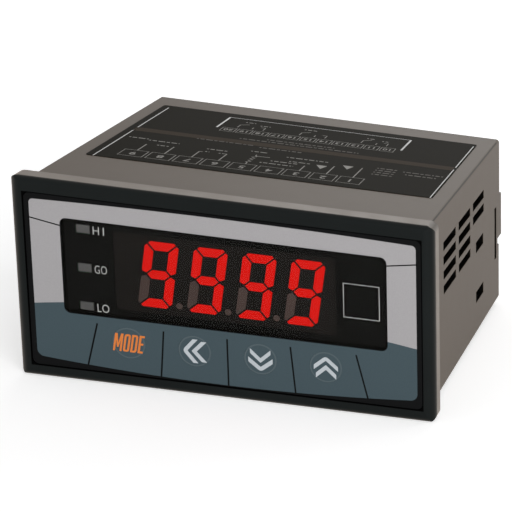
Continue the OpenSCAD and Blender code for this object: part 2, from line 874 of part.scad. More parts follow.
// One terminal screw per pole: shank, pan head and cross recess
module terminal_screws(poles, pitch, z, h) {
    head_y = washer_rear_y;
    color([0.75, 0.75, 0.76]) for (i = [0:poles - 1])
        translate([row_x(i, poles, pitch), 0, z + screw_height(h)]) {
            rod(screw_r, block_front_y + 1.5 * over, head_y);
            difference() {
                rod(screw_head_r, head_y, head_y + screw_head_t);
                cross_slot(screw_head_r, head_y + screw_head_t / 2);
            }
        }
}

// Square plate with a clearance hole, one per pole, from y0 back to y1
module pole_plates(poles, pitch, z, h, y0, size_w, size_h) {
    for (i = [0:poles - 1]) translate([row_x(i, poles, pitch), 0, z + screw_height(h)]) difference() {
        slab(y0, y0 + terminal_t) square([size_w, size_h], center = true);
        rod(screw_r + fit_gap, y0 - over, y0 + terminal_t + over);
    }
}

// Terminal plates fill the width of a bay; the clamp washers on them are a little smaller
module terminal_plates(poles, pitch, z, h) {
    color([0.80, 0.72, 0.45])
        pole_plates(poles, pitch, z, h, bay_y, pitch - barrier_t - 2 * fit_gap, h - barrier_t - 2 * fit_gap);
}

module clamp_washers(poles, pitch, z, h) {
    washer_w = pitch - barrier_t - 4 * fit_gap;
    color([0.72, 0.72, 0.73]) pole_plates(poles, pitch, z, h, plate_front_y, washer_w, washer_w);
}

// ---------- Nodes ----------

bezel();
face_film();
display_lens();
key_cap(0);  // key_mode
key_cap(1);  // key_shift
key_cap(2);  // key_down
key_cap(3);  // key_up
plunger(0);  // plunger_mode
plunger(1);  // plunger_shift
plunger(2);  // plunger_down
plunger(3);  // plunger_up
switch_body(0);  // switch_mode
switch_body(1);  // switch_shift
switch_body(2);  // switch_down
switch_body(3);  // switch_up
display_module();
lit_digit(0);  // lit_digit_1
lit_digit(1);  // lit_digit_2
lit_digit(2);  // lit_digit_3
lit_digit(3);  // lit_digit_4
dark_segments();
decimal_points();
lamp(1);  // lamp_high
lamp(0);  // lamp_go
lamp(-1);  // lamp_low
display_board();
display_screws();
controller_chip();
link_headers();
case_shell();
top_label();
rear_cover();
power_board();
signal_board();
transformer_core();
transformer_bobbin();
transformer_winding();
smoothing_capacitors();
bridge_rectifier();
surge_varistor();
fuse();
voltage_regulator();
heat_sink();
relay(0);  // relay_high
relay(-1);  // relay_go
relay(1);  // relay_low
converter_chip();
couplers();
color([0.10, 0.10, 0.10]) terminal_block(lower_poles, lower_pitch, power_z, lower_block_h);  // lower_terminal_block
color([0.10, 0.10, 0.10]) terminal_block(upper_poles, upper_pitch, signal_z, upper_block_h);  // upper_terminal_block
terminal_screws(lower_poles, lower_pitch, power_z, lower_block_h);  // lower_terminal_screws
terminal_screws(upper_poles, upper_pitch, signal_z, upper_block_h);  // upper_terminal_screws
clamp_washers(lower_poles, lower_pitch, power_z, lower_block_h);  // lower_clamp_washers
clamp_washers(upper_poles, upper_pitch, signal_z, upper_block_h);  // upper_clamp_washers
terminal_plates(lower_poles, lower_pitch, power_z, lower_block_h);  // lower_terminal_plates
terminal_plates(upper_poles, upper_pitch, signal_z, upper_block_h);  // upper_terminal_plates
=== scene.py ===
"""Digital panel meter: finishes, print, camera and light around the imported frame.

Lengths in the tables below are millimetres; Blender objects are metres, in the frame of the part:
the front looks along -Y, +X is to the right and +Z is up.
"""

import math

import bmesh
import bpy
import numpy as np
from mathutils import Matrix, Vector


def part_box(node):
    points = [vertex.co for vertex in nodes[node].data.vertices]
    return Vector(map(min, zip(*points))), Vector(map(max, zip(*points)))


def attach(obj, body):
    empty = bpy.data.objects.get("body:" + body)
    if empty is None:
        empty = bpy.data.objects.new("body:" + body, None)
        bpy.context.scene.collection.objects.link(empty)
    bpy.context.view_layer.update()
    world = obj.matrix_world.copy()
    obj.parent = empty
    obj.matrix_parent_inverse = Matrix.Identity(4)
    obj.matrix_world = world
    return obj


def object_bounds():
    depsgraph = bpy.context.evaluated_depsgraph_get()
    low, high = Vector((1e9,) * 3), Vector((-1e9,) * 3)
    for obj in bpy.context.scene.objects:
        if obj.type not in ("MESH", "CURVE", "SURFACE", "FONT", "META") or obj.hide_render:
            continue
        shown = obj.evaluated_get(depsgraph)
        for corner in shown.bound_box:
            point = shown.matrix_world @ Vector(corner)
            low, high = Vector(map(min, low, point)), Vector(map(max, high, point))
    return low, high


MM = 0.001

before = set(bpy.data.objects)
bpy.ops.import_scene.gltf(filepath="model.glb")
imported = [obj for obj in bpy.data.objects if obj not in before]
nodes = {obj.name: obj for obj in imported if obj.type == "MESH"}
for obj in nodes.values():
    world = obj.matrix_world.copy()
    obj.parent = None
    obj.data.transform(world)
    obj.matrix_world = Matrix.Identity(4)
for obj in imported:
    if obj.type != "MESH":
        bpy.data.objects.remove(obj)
cad_low, cad_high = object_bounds()

# ---------- Places taken from the frame ----------

METER = "meter"
KEYS = ("mode", "shift", "down", "up")


def box_mm(node):
    """Lowest and highest corner of a CAD node, in millimetres."""
    low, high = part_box(node)
    return low / MM, high / MM


film_low, film_high = box_mm("face_film")
lens_low, lens_high = box_mm("display_lens")
module_low, module_high = box_mm("display_module")
film_front = film_low.y
lens_front = lens_low.y
label_top = box_mm("top_label")[1].z
case_high = box_mm("case_shell")[1]
LENS_FLANGE = 0.8  # how far the lens reaches past the window, behind the film
window_half_w = (lens_high.x - lens_low.x) / 2 - LENS_FLANGE
window_half_h = (lens_high.z - lens_low.z) / 2 - LENS_FLANGE
window_z = (lens_low.z + lens_high.z) / 2
key_centre = {}
for key in KEYS:
    key_low, key_high = box_mm("key_" + key)
    key_centre[key] = ((key_low.x + key_high.x) / 2, (key_low.z + key_high.z) / 2)

# ---------- Material building ----------


def base_material(name, colour, roughness, **sockets):
    """A Principled material. Other sockets are named with underscores: Specular_IOR_Level."""
    made = bpy.data.materials.new(name)
    made.use_nodes = True
    shader = shader_of(made)
    shader.inputs["Base Color"].default_value = (*colour, 1)
    shader.inputs["Roughness"].default_value = roughness
    for socket, value in sockets.items():
        shader.inputs[socket.replace("_", " ")].default_value = value
    return made


def shader_of(made):
    """The Principled shader of a material."""
    return made.node_tree.nodes["Principled BSDF"]


def maths(tree, operation, *values):
    """The result of a Math node on sockets or plain numbers."""
    node = tree.nodes.new("ShaderNodeMath")
    node.operation = operation
    for socket, value in zip(node.inputs, values):
        if isinstance(value, (int, float)):
            socket.default_value = value
        else:
            tree.links.new(value, socket)
    return node.outputs["Value"]


def object_points(made, stretch=(1, 1, 1)):
    """Object coordinates in millimetres, stretched along an axis where a pattern runs that way."""
    tree = made.node_tree
    place = tree.nodes.new("ShaderNodeTexCoord")
    scale = tree.nodes.new("ShaderNodeMapping")
    scale.inputs["Scale"].default_value = [s / MM for s in stretch]
    tree.links.new(place.outputs["Object"], scale.inputs["Vector"])
    return scale.outputs["Vector"]


def noise(made, points, size, detail=2.0):
    """Noise whose grains are about size millimetres across."""
    tree = made.node_tree
    grains = tree.nodes.new("ShaderNodeTexNoise")
    grains.inputs["Scale"].default_value = 1 / size
    grains.inputs["Detail"].default_value = detail
    tree.links.new(points, grains.inputs["Vector"])
    return grains.outputs["Fac"]


NOISE_LOW, NOISE_HIGH = 0.3, 0.7  # the span in which nearly all of a noise lies


def ramp(made, value, low, high):
    """A noise value turned into low..high."""
    tree = made.node_tree
    span = tree.nodes.new("ShaderNodeMapRange")
    span.inputs["From Min"].default_value = NOISE_LOW
    span.inputs["From Max"].default_value = NOISE_HIGH
    span.inputs["To Min"].default_value = low
    span.inputs["To Max"].default_value = high
    tree.links.new(value, span.inputs["Value"])
    return span.outputs["Result"]


def bump(made, height, depth):
    """Raises the surface by depth millimetres where height is 1."""
    tree = made.node_tree
    raised = tree.nodes.new("ShaderNodeBump")
    raised.inputs["Distance"].default_value = depth * MM
    tree.links.new(height, raised.inputs["Height"])
    tree.links.new(raised.outputs["Normal"], shader_of(made).inputs["Normal"])


def tint(made, value, colour, spread):
    """Base colour that varies by spread, lighter and darker, with the value."""
    tree = made.node_tree
    mix = tree.nodes.new("ShaderNodeMix")
    mix.data_type = "RGBA"
    mix.inputs["A"].default_value = (*[c * (1 - spread) for c in colour], 1)
    mix.inputs["B"].default_value = (*[min(1, c * (1 + spread)) for c in colour], 1)
    tree.links.new(ramp(made, value, 0, 1), mix.inputs["Factor"])
    tree.links.new(mix.outputs["Result"], shader_of(made).inputs["Base Color"])


def vary_gloss(made, value, low, high):
    """Roughness that runs from low to high with the value."""
    made.node_tree.links.new(ramp(made, value, low, high), shader_of(made).inputs["Roughness"])


def moulded_plastic(
    name, colour, roughness, grain=0.3, grain_depth=0.006, spread=0.08,
    cloud=14, gloss_spread=0.04, **sockets,
):
    """Moulded plastic: a fine eroded grain, and cloudy variation of colour and gloss.

    Grain and cloud are sizes in millimetres."""
    made = base_material(name, colour, roughness, **sockets)
    points = object_points(made)
    bump(made, noise(made, points, grain, 3), grain_depth)
    tint(made, noise(made, points, cloud), colour, spread)
    vary_gloss(made, noise(made, points, 5), roughness - gloss_spread, roughness + gloss_spread)
    return made


def shade_inside(made, half_w, half_h, rear, colour, mid_z=0.0, glossy=False):
    """Paints shade on what lies inside the plastic: within half_w of the middle and half_h of
    mid_z, and in front of the station rear, it is of that painted shade colour, and without gloss
    unless glossy."""
    tree, shader = made.node_tree, shader_of(made)
    place = tree.nodes.new("ShaderNodeSeparateXYZ")
    tree.links.new(object_points(made), place.inputs["Vector"])
    lit = maths(tree, "GREATER_THAN", place.outputs["Y"], rear)
    for axis, middle, half in (("X", 0.0, half_w), ("Z", mid_z, half_h)):
        away = maths(tree, "ABSOLUTE", maths(tree, "SUBTRACT", place.outputs[axis], middle))
        lit = maths(tree, "MAXIMUM", lit, maths(tree, "GREATER_THAN", away, half))
    mix = tree.nodes.new("ShaderNodeMix")
    mix.data_type = "RGBA"
    mix.inputs["A"].default_value = (*colour, 1)
    tree.links.new(shader.inputs["Base Color"].links[0].from_socket, mix.inputs["B"])
    tree.links.new(lit, mix.inputs["Factor"])
    tree.links.new(mix.outputs["Result"], shader.inputs["Base Color"])
    if glossy:
        return
    for name in ("Sheen Weight", "Specular IOR Level"):
        full = shader.inputs[name].default_value
        if full > 0:
            tree.links.new(maths(tree, "MULTIPLY", lit, full), shader.inputs[name])


FINE_DEPTH = 0.002


def printed_ink(name, colour, roughness=0.5, spread=0.04, **sockets):
    """Screen-printed ink under a finely textured film."""
    made = base_material(name, colour, roughness, **sockets)
    grains = noise(made, object_points(made), 0.25, 3)
    tint(made, grains, colour, spread)
    bump(made, grains, FINE_DEPTH)
    return made


def brushed_metal(name, colour, roughness, stretch=(1, 1, 1)):
    """Metal with fine marks of its making, longer along the axes that are stretched less."""
    made = base_material(name, colour, roughness, Metallic=1.0)
    marks = noise(made, object_points(made, stretch), 0.12, 4)
    vary_gloss(made, marks, roughness - 0.08, roughness + 0.1)
    bump(made, marks, FINE_DEPTH)
    return made


# ---------- Finishes ----------

bezel_plastic = moulded_plastic(
    "bezel_plastic", (0.0055, 0.0075, 0.0075), 0.45, Specular_IOR_Level=0.08,
    Sheen_Weight=0.6, Sheen_Roughness=0.35, Sheen_Tint=(1.0, 0.86, 0.74, 1),
)
case_plastic, cover_plastic = (
    moulded_plastic(
        name, colour, 0.55, grain_depth=0.005, spread=0.01,
        cloud=40, gloss_spread=0.005, Specular_IOR_Level=0.15,
    )
    for name, colour in (
        ("case_plastic", (0.084, 0.064, 0.047)), ("cover_plastic", (0.080, 0.061, 0.045)),
    )
)
film_black = printed_ink("film_black", (0.0045, 0.0047, 0.0050), 0.4, Specular_IOR_Level=0.05)
film_silver = printed_ink(
    "film_silver", (0.365, 0.353, 0.36), 0.45, spread=0.05, Specular_IOR_Level=0.3
)
film_blue = printed_ink(
    "film_blue", (0.055, 0.082, 0.095), 0.5, spread=0.05, Specular_IOR_Level=0.12
)
# The key rings are a little lighter than the blue field: a painted highlight of their pressed edge
key_rim_highlight = printed_ink("key_rim_highlight", (0.070, 0.098, 0.110), 0.4, spread=0.05, Specular_IOR_Level=0.3)
ink_black = printed_ink("ink_black", (0.003, 0.0035, 0.0035), 0.5, Specular_IOR_Level=0.05)
ink_white = printed_ink("ink_white", (0.52, 0.52, 0.51), 0.5)
ink_pale = printed_ink("ink_pale", (0.30, 0.29, 0.27), 0.6, Specular_IOR_Level=0.05)
ink_dim = printed_ink("ink_dim", (0.12, 0.11, 0.10), 0.6, Specular_IOR_Level=0.05)
ink_grey = printed_ink("ink_grey", (0.50, 0.54, 0.57), 0.5)
ink_orange = printed_ink("ink_orange", (0.72, 0.21, 0.045), 0.5, Specular_IOR_Level=0.2)
label_black = printed_ink("label_black", (0.009, 0.0078, 0.0050), 0.6, Specular_IOR_Level=0.01)
label_strip = printed_ink("label_strip", (0.042, 0.032, 0.023), 0.6, Specular_IOR_Level=0.01)
module_black = moulded_plastic("module_black", (0.018, 0.014, 0.012), 0.5, Specular_IOR_Level=0.15)
lamp_diffuser = moulded_plastic("lamp_diffuser", (0.36, 0.36, 0.35), 0.4, spread=0.05)
unlit_segment = moulded_plastic("unlit_segment", (0.20, 0.125, 0.105), 0.4, spread=0.05)
switch_plastic = moulded_plastic("switch_plastic", (0.02, 0.02, 0.021), 0.45)
terminal_plastic = moulded_plastic("terminal_plastic", (0.022, 0.022, 0.023), 0.4)
chip_epoxy = moulded_plastic("chip_epoxy", (0.015, 0.015, 0.016), 0.55)
screw_steel = brushed_metal("screw_steel", (0.62, 0.62, 0.60), 0.32)
plate_brass = brushed_metal("plate_brass", (0.72, 0.60, 0.36), 0.3)
sink_aluminium = brushed_metal("sink_aluminium", (0.6, 0.6, 0.62), 0.35, stretch=(1, 1, 0.1))
relay_cover = moulded_plastic("relay_cover", (0.75, 0.26, 0.04), 0.3)
capacitor_sleeve = moulded_plastic("capacitor_sleeve", (0.02, 0.03, 0.10), 0.3)
varistor_coat = moulded_plastic("varistor_coat", (0.02, 0.10, 0.36), 0.3, grain=1.0)
fuse_body = moulded_plastic("fuse_body", (0.14, 0.06, 0.025), 0.4)
# Tinted clear plastic: part of it shades, the rest lets the display show through
smoked_acrylic = base_material(
    "smoked_acrylic", (0.0080, 0.0074, 0.0060), 0.15, Specular_IOR_Level=0.12, Alpha=0.3
)
# Red light-emitting segments, even all over
lit_epoxy = base_material(
    "lit_epoxy", (0.3, 0.004, 0.002), 0.4, Specular_IOR_Level=0.1,
    Emission_Color=(1.0, 0.007, 0.003, 1), Emission_Strength=1.1,
)


def board_laminate():
    """Green solder mask, lighter and raised where the copper lies under it."""
    colour = (0.02, 0.13, 0.05)
    made = base_material("board_laminate", colour, 0.3)
    weave = noise(made, object_points(made), 1.6, 0)
    tint(made, weave, colour, 0.35)
    bump(made, weave, 0.02)
    return made


def bands(made, way, scale):
    """Even bands across one axis, X, Y or Z."""
    tree = made.node_tree
    wave = tree.nodes.new("ShaderNodeTexWave")
    wave.bands_direction = way
    wave.inputs["Scale"].default_value = scale
    tree.links.new(object_points(made), wave.inputs["Vector"])
    return wave.outputs["Fac"]


def laminations():
    """Steel sheets stacked along Y, with dark gaps between them."""
    made = base_material("laminations", (0.32, 0.32, 0.34), 0.45, Metallic=1.0)
    sheets = bands(made, "Y", 0.6)
    tint(made, sheets, (0.3, 0.3, 0.32), 0.5)
    bump(made, sheets, 0.05)
    return made


def winding_tape():
    """Yellow polyester tape wound round the transformer in level turns."""
    colour = (0.66, 0.42, 0.05)
    made = base_material("winding_tape", colour, 0.3)
    tint(made, bands(made, "Z", 0.12), colour, 0.15)
    return made


FINISH = {
    bezel_plastic: ["bezel"],
    film_black: ["face_film"],
    film_blue: ["key_" + k for k in KEYS],
    smoked_acrylic: ["display_lens"],
    switch_plastic: ["plunger_" + k for k in KEYS] + ["switch_" + k for k in KEYS],
    module_black: ["display_module"],
    lit_epoxy: [f"lit_digit_{i}" for i in range(1, 5)],
    unlit_segment: ["dark_segments", "decimal_points"],
    lamp_diffuser: ["lamp_high", "lamp_go", "lamp_low"],
    board_laminate(): ["display_board", "power_board", "signal_board"],
    screw_steel: [
        "display_screws", "lower_terminal_screws", "upper_terminal_screws",
        "lower_clamp_washers", "upper_clamp_washers",
    ],
    chip_epoxy: [
        "controller_chip", "converter_chip", "couplers", "bridge_rectifier",
        "voltage_regulator", "link_headers", "transformer_bobbin",
    ],
    case_plastic: ["case_shell"],
    cover_plastic: ["rear_cover"],
    label_black: ["top_label"],
    laminations(): ["transformer_core"],
    winding_tape(): ["transformer_winding"],
    capacitor_sleeve: ["smoothing_capacitors"],
    varistor_coat: ["surge_varistor"],
    fuse_body: ["fuse"],
    sink_aluminium: ["heat_sink"],
    relay_cover: ["relay_high", "relay_go", "relay_low"],
    terminal_plastic: ["lower_terminal_block", "upper_terminal_block"],
    plate_brass: ["lower_terminal_plates", "upper_terminal_plates"],
}
SKIN = 0.1  # what lies deeper than this is inside
# Colours of painted shade: on the case's long edges, in its vents and slots, and on the recess
# walls
EDGE_SHADE = (0.024, 0.018, 0.0135)
VENT_SHADE = (0.004, 0.0037, 0.0033)
RECESS_SHADE = (0.002, 0.002, 0.002)
# Painted shade: the case's long edges are a little darker than its faces, and its vents and slots
# are painted black inside, where shade falls
case_rear = case_high.y - 0.3
shade_inside(
    case_plastic, case_high.x - 0.12, case_high.z - 0.12, case_rear, EDGE_SHADE, glossy=True
)
shade_inside(case_plastic, case_high.x - SKIN, case_high.z - 1.5, case_rear, VENT_SHADE)
# Painted shade: the walls of the recess round the film are painted black
film_mid_z = (film_low.z + film_high.z) / 2
shade_inside(
    bezel_plastic, film_high.x + 0.3, film_high.z - film_mid_z + 0.3, cad_high.y / MM,
    RECESS_SHADE, film_mid_z,
)
for finish, members in FINISH.items():
    for member in members:
        slots = nodes[member].data.materials
        slots.clear()
        slots.append(finish)

# ---------- Planes that carry print ----------

INK_T = 0.012  # thickness of a layer of ink


def front_plane(y):
    """Local X is right, local Y is up and local Z points out of the front, at station y."""
    return Matrix(((1, 0, 0, 0), (0, 0, -1, y * MM), (0, 1, 0, 0), (0, 0, 0, 1)))


def top_plane(z, turned=False):
    """Local Z points up at height z. Turned, the print reads from the rear."""
    way = -1 if turned else 1
    return Matrix(((way, 0, 0, 0), (0, way, 0, 0), (0, 0, 1, z * MM), (0, 0, 0, 1)))


def link(name, mesh):
    """An object for a mesh, at the origin."""
    made = bpy.data.objects.new(name, mesh)
    bpy.context.scene.collection.objects.link(made)
    return made


def evaluated_mesh(obj):
    """A plain mesh of what an object's modifiers make of it."""
    bpy.context.view_layer.update()
    return bpy.data.meshes.new_from_object(
        obj.evaluated_get(bpy.context.evaluated_depsgraph_get())
    )


def settle(obj, plane, body, finish):
    """Puts flat work on its plane, cleans it, and lets it ride on its body."""
    mesh = obj.data
    mesh.transform(plane)
    work = bmesh.new()
    work.from_mesh(mesh)
    bmesh.ops.remove_doubles(work, verts=work.verts, dist=1e-7)
    work.to_mesh(mesh)
    work.free()
    mesh.materials.clear()
    mesh.materials.append(finish)
    for face in mesh.polygons:
        face.material_index = 0
    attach(obj, body)
    return obj


# ---------- Flat fields with holes ----------


def arc(cx, cy, r, start, end, steps=10):
    """Points along an arc, angles in degrees."""
    turns = [math.radians(start + (end - start) * i / steps) for i in range(steps + 1)]
    return [(cx + r * math.cos(t), cy + r * math.sin(t)) for t in turns]


def round_box(cx, cy, half_w, half_h, r):
    """Rectangle with round corners, counter-clockwise."""
    points = []
    for sx, sy, start in ((1, 1, 0), (-1, 1, 90), (-1, -1, 180), (1, -1, 270)):
        points += arc(cx + sx * (half_w - r), cy + sy * (half_h - r), r, start, start + 90, 6)
    return points


def soften(points, trims, steps=4):
    """Closed outline whose corners are rounded off, each over its trim length."""
    soft = []
    for i, (corner, trim) in enumerate(zip(points, trims)):
        before, after = Vector(points[i - 1]), Vector(points[(i + 1) % len(points)])
        corner = Vector(corner)
        if trim == 0:
            soft.append(tuple(corner))
            continue
        start = corner + (before - corner).normalized() * trim
        end = corner + (after - corner).normalized() * trim
        for step in range(steps + 1):
            t = step / steps
            soft.append(tuple(start * (1 - t) ** 2 + corner * (2 * t * (1 - t)) + end * t ** 2))
    return soft


def flat_mesh(name, loops, thick=INK_T):
    """A thin sheet in its own plane. A loop inside another is a hole in it."""
    drawn = bpy.data.curves.new(name, "CURVE")
    drawn.dimensions = "2D"
    drawn.fill_mode = "BOTH"
    drawn.extrude = thick * MM / 2
    for loop in loops:
        spline = drawn.splines.new("POLY")
        spline.points.add(len(loop) - 1)
        for point, (u, v) in zip(spline.points, loop):
            point.co = (u * MM, v * MM, 0, 1)
        spline.use_cyclic_u = True
    shape = link(name + "_outline", drawn)
    bpy.context.view_layer.update()
    mesh = bpy.data.meshes.new_from_object(shape)
    bpy.data.objects.remove(shape)
    mesh.transform(Matrix.Translation((0, 0, thick * MM / 2)))
    return mesh


def flat_field(name, loops, plane, body, finish, thick=INK_T):
    """A thin sheet of print on its plane."""
    return settle(link(name, flat_mesh(name, loops, thick)), plane, body, finish)


def cut_round(name, mesh, centre, r, keep):
    """The part of a flat mesh in a circle (keep INTERSECT) or outside it (keep DIFFERENCE)."""
    work = bmesh.new()
    place = Matrix.Translation((centre[0] * MM, centre[1] * MM, 0))
    bmesh.ops.create_cone(
        work, cap_ends=True, segments=96, radius1=r * MM, radius2=r * MM, depth=2 * MM, matrix=place
    )
    round_mesh = bpy.data.meshes.new(name + "_round")
    work.to_mesh(round_mesh)
    work.free()
    cutter, whole = link(name + "_round", round_mesh), link(name + "_whole", mesh)
    cut = whole.modifiers.new("cut", "BOOLEAN")
    cut.operation, cut.object = keep, cutter
    part = evaluated_mesh(whole)
    bpy.data.objects.remove(whole)
    bpy.data.objects.remove(cutter)
    return part


# Printed field on the film: bowed at the top and the bottom, and open at the window and the keys
FIELD_HALF_W = 43.8
FIELD_TOP_CORNER, FIELD_TOP_MID = 18.9, 19.6
FIELD_BOTTOM_CORNER, FIELD_BOTTOM_MID = -18.9, -20.8
BORDER_MID, BORDER_DROP = -2.68, 0.00181
TOP_CORNER_R, BOTTOM_CORNER_R = 1.0, 1.7
BOW_STEPS, SIDE_STEPS = 24, 4
WINDOW_EDGE = 0.12  # from the window to the print round it
WINDOW_CORNER_R = 1.5
KEY_HOLE_R = 3.77


def bow(x, mid, corner):
    """Height of a bowed edge at x, between its middle and its corner."""
    return mid + (corner - mid) * (x / FIELD_HALF_W) ** 2


def top_bow(x):
    """Height of the field's top edge at x."""
    return bow(x, FIELD_TOP_MID, FIELD_TOP_CORNER)


def bottom_bow(x):
    """Height of the field's bottom edge at x."""
    return bow(x, FIELD_BOTTOM_MID, FIELD_BOTTOM_CORNER)


def border_z(x):
    """Height of the line between the silver and the blue field at x."""
    return BORDER_MID - BORDER_DROP * x * x


def spread(low, high, steps=BOW_STEPS):
    """Even steps from low to high."""
    return [low + (high - low) * i / steps for i in range(steps + 1)]


def silver_outline():
    """The silver field passes the window on three sides and meets the blue one beside it."""
    top_x = FIELD_HALF_W - TOP_CORNER_R
    corner_z = top_bow(top_x) - TOP_CORNER_R
    inner_x = window_half_w + WINDOW_EDGE
    top = window_z + window_half_h + WINDOW_EDGE
    points = [(x, border_z(x)) for x in spread(inner_x, FIELD_HALF_W, SIDE_STEPS)]
    points += arc(top_x, corner_z, TOP_CORNER_R, 0, 90)
    points += [(x, top_bow(x)) for x in spread(top_x, -top_x)][1:-1]
    points += arc(-top_x, corner_z, TOP_CORNER_R, 90, 180)
    points += [(x, border_z(x)) for x in spread(-FIELD_HALF_W, -inner_x, SIDE_STEPS)]
    r = WINDOW_CORNER_R
    points += arc(-inner_x + r, top - r, r, 180, 90)
    points += arc(inner_x - r, top - r, r, 90, 0)
    return points


def blue_outline():
    """The blue field lies below the window and reaches up beside its lower corners."""
    low_x = FIELD_HALF_W - BOTTOM_CORNER_R
    corner_z = bottom_bow(low_x) + BOTTOM_CORNER_R
    inner_x = window_half_w + WINDOW_EDGE
    bottom = window_z - window_half_h - WINDOW_EDGE
    points = [(x, border_z(x)) for x in spread(FIELD_HALF_W, inner_x, SIDE_STEPS)]
    r = WINDOW_CORNER_R
    points += arc(inner_x - r, bottom + r, r, 0, -90)
    points += arc(-inner_x + r, bottom + r, r, -90, -180)
    points += [(x, border_z(x)) for x in spread(-inner_x, -FIELD_HALF_W, SIDE_STEPS)]
    points += arc(-low_x, corner_z, BOTTOM_CORNER_R, 180, 270)
    points += [(x, bottom_bow(x)) for x in spread(-low_x, low_x)][1:-1]
    points += arc(low_x, corner_z, BOTTOM_CORNER_R, 270, 360)
    return points


film_plane = front_plane(film_front)
flat_field("silver_field", [silver_outline()], film_plane, METER, film_silver)
key_holes = [arc(*key_centre[k], KEY_HOLE_R, 0, 360, 48)[:-1] for k in KEYS]
flat_field("blue_field", [blue_outline(), *key_holes], film_plane, METER, film_blue)

# ---------- Geometry Nodes: strips of ink along paths, rows of boxes, rings ----------


def new_tree(name, sizes):
    """An empty Geometry Nodes tree with a Geometry input, named sizes and an Ink input."""
    tree = bpy.data.node_groups.new(name, "GeometryNodeTree")
    face = tree.interface
    face.new_socket("Geometry", in_out="INPUT", socket_type="NodeSocketGeometry")
    for size, kind in sizes.items():
        face.new_socket(size, in_out="INPUT", socket_type="NodeSocket" + kind)
    face.new_socket("Ink", in_out="INPUT", socket_type="NodeSocketMaterial")
    face.new_socket("Geometry", in_out="OUTPUT", socket_type="NodeSocketGeometry")
    return tree, tree.nodes.new("NodeGroupInput"), tree.nodes.new("NodeGroupOutput")


def add(tree, kind, links=(), **settings):
    """A node with its settings, and links given as (output, input name)."""
    node = tree.nodes.new(kind)
    for name, value in settings.items():
        setattr(node, name, value)
    for output, name in links:
        tree.links.new(output, node.inputs[name])
    return node


def close_tree(tree, source, given, out):
    """Ends a tree in Realize Instances and Set Material."""
    real = add(tree, "GeometryNodeRealizeInstances", [(source, "Geometry")])
    inked = add(
        tree, "GeometryNodeSetMaterial",
        [(real.outputs["Geometry"], "Geometry"), (given.outputs["Ink"], "Material")],
    )
    tree.links.new(inked.outputs["Geometry"], out.inputs["Geometry"])


def strip_tree():
    """Sweeps a flat rectangle along every path of the input mesh."""
    tree, given, out = new_tree("ink_strips", {"Width": "Float", "Thickness": "Float"})
    path = add(tree, "GeometryNodeMeshToCurve", [(given.outputs["Geometry"], "Mesh")])
    level = add(tree, "GeometryNodeSetCurveNormal", [(path.outputs["Curve"], "Curve")], mode="Z_UP")
    section = add(
        tree, "GeometryNodeCurvePrimitiveQuadrilateral",
        [(given.outputs["Width"], "Width"), (given.outputs["Thickness"], "Height")],
    )
    swept = add(
        tree, "GeometryNodeCurveToMesh",
        [(level.outputs["Curve"], "Curve"), (section.outputs["Curve"], "Profile Curve")],
    )
    swept.inputs["Fill Caps"].default_value = True
    close_tree(tree, swept.outputs["Mesh"], given, out)
    return tree


def box_row_tree():
    """A row of rectangular frames of ink along X, centred on the origin."""
    tree, given, out = new_tree(
        "box_row",
        {"Count": "Int", "Pitch": "Float", "Box Width": "Float", "Box Height": "Float",
         "Stroke": "Float", "Thickness": "Float"},
    )
    frame_line = add(
        tree, "GeometryNodeCurvePrimitiveQuadrilateral",
        [(given.outputs["Box Width"], "Width"), (given.outputs["Box Height"], "Height")],
    )
    section = add(
        tree, "GeometryNodeCurvePrimitiveQuadrilateral",
        [(given.outputs["Stroke"], "Width"), (given.outputs["Thickness"], "Height")],
    )
    swept = add(
        tree, "GeometryNodeCurveToMesh",
        [(frame_line.outputs["Curve"], "Curve"), (section.outputs["Curve"], "Profile Curve")],
    )
    row = add(tree, "GeometryNodeMeshLine", [(given.outputs["Count"], "Count")])
    step = add(tree, "ShaderNodeCombineXYZ", [(given.outputs["Pitch"], "X")])
    tree.links.new(step.outputs["Vector"], row.inputs["Offset"])
    steps = maths(tree, "SUBTRACT", given.outputs["Count"], 1)
    first = maths(tree, "MULTIPLY", maths(tree, "MULTIPLY", steps, given.outputs["Pitch"]), -0.5)
    start = add(tree, "ShaderNodeCombineXYZ", [(first, "X")])
    tree.links.new(start.outputs["Vector"], row.inputs["Start Location"])
    copies = add(
        tree, "GeometryNodeInstanceOnPoints",
        [(row.outputs["Mesh"], "Points"), (swept.outputs["Mesh"], "Instance")],
    )
    close_tree(tree, copies.outputs["Instances"], given, out)
    return tree


def ring_tree():
    """A low rounded ring round every point of the input mesh."""
    tree, given, out = new_tree(
        "pressed_rings", {"Radius": "Float", "Width": "Float", "Height": "Float"}
    )
    circle = add(tree, "GeometryNodeCurvePrimitiveCircle", [(given.outputs["Radius"], "Radius")])
    circle.inputs["Resolution"].default_value = 96
    section = add(tree, "GeometryNodeCurvePrimitiveCircle")
    section.inputs["Resolution"].default_value = 16
    section.inputs["Radius"].default_value = 0.5
    size = add(
        tree, "ShaderNodeCombineXYZ",
        [(given.outputs["Width"], "X"), (given.outputs["Height"], "Y")],
    )
    size.inputs["Z"].default_value = 1
    flat = add(
        tree, "GeometryNodeTransform",
        [(section.outputs["Curve"], "Geometry"), (size.outputs["Vector"], "Scale")],
    )
    swept = add(
        tree, "GeometryNodeCurveToMesh",
        [(circle.outputs["Curve"], "Curve"), (flat.outputs["Geometry"], "Profile Curve")],
    )
    copies = add(
        tree, "GeometryNodeInstanceOnPoints",
        [(given.outputs["Geometry"], "Points"), (swept.outputs["Mesh"], "Instance")],
    )
    close_tree(tree, copies.outputs["Instances"], given, out)
    return tree


TREES = {"strips": strip_tree(), "boxes": box_row_tree(), "rings": ring_tree()}


